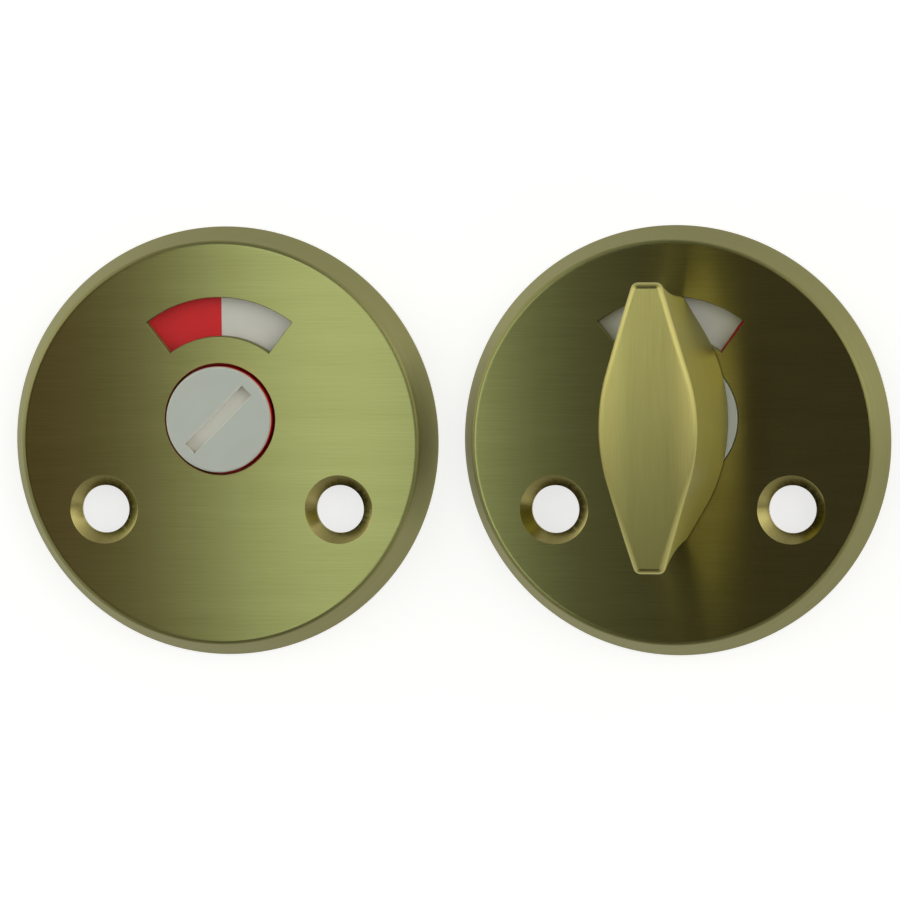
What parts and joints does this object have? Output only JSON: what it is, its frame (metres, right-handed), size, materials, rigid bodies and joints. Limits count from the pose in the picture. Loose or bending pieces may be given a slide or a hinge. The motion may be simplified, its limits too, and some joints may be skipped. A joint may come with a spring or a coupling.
{
  "type": "bathroom thumb turn lock",
  "caption": "Privacy lock set of two round brass roses: one with a hexagonal thumb turn, one with a coin-slot release, each with a red and white indicator window.",
  "frame": {"origin": "between the two halves, in the plane of their backs, level with the roses' centres", "axes": "+Z out of the door faces, along both spindle axes; +X from the release half to the thumb turn half; +Y towards the indicator windows, up on a door"},
  "size_m": [0.1114, 0.054, 0.0255],
  "materials": {
    "satin_brass": "brushed one way, clear lacquered",
    "satin_brass_cast": "satin, clear lacquered",
    "red_plastic": "moulded, satin",
    "white_plastic": "moulded, satin",
    "die_cast_zinc": "as cast",
    "natural_nylon": "moulded",
    "spring_steel": "hardened and oiled",
    "plated_steel": "zinc plated"
  },
  "bodies": {
    "roses": {"release_rose": "satin_brass", "release_bearing_bush": "natural_nylon", "release_wave_washer": "spring_steel", "release_back_plate": "plated_steel", "release_plate_screws": "plated_steel", "turn_rose": "satin_brass", "turn_wave_washer": "spring_steel", "turn_bearing_bush": "natural_nylon", "turn_back_plate": "plated_steel", "turn_plate_screws": "plated_steel"},
    "release_hub": {"release_indicator_disc": "red_plastic", "release_white_sector": "white_plastic", "release_slot_cap": "white_plastic", "release_spindle_follower": "die_cast_zinc"},
    "thumb_turn": {"thumb_turn": "satin_brass_cast", "turn_indicator_disc": "red_plastic", "turn_white_sector": "white_plastic", "turn_hub_ring": "white_plastic", "turn_retaining_ring": "spring_steel", "turn_thrust_washer": "plated_steel"}
  },
  "joints": [
    {"name": "release_turn", "type": "hinge", "parent": "roses", "child": "release_hub", "pos_m": [-0.0287, 0.003, 0.0031], "axis": [0, 0, 1], "range_deg": [-45, 45]},
    {"name": "thumb_turn_turn", "type": "hinge", "parent": "roses", "child": "thumb_turn", "pos_m": [0.0287, 0.003, 0.0031], "axis": [0, 0, 1], "range_deg": [0, 90]}
  ]
}
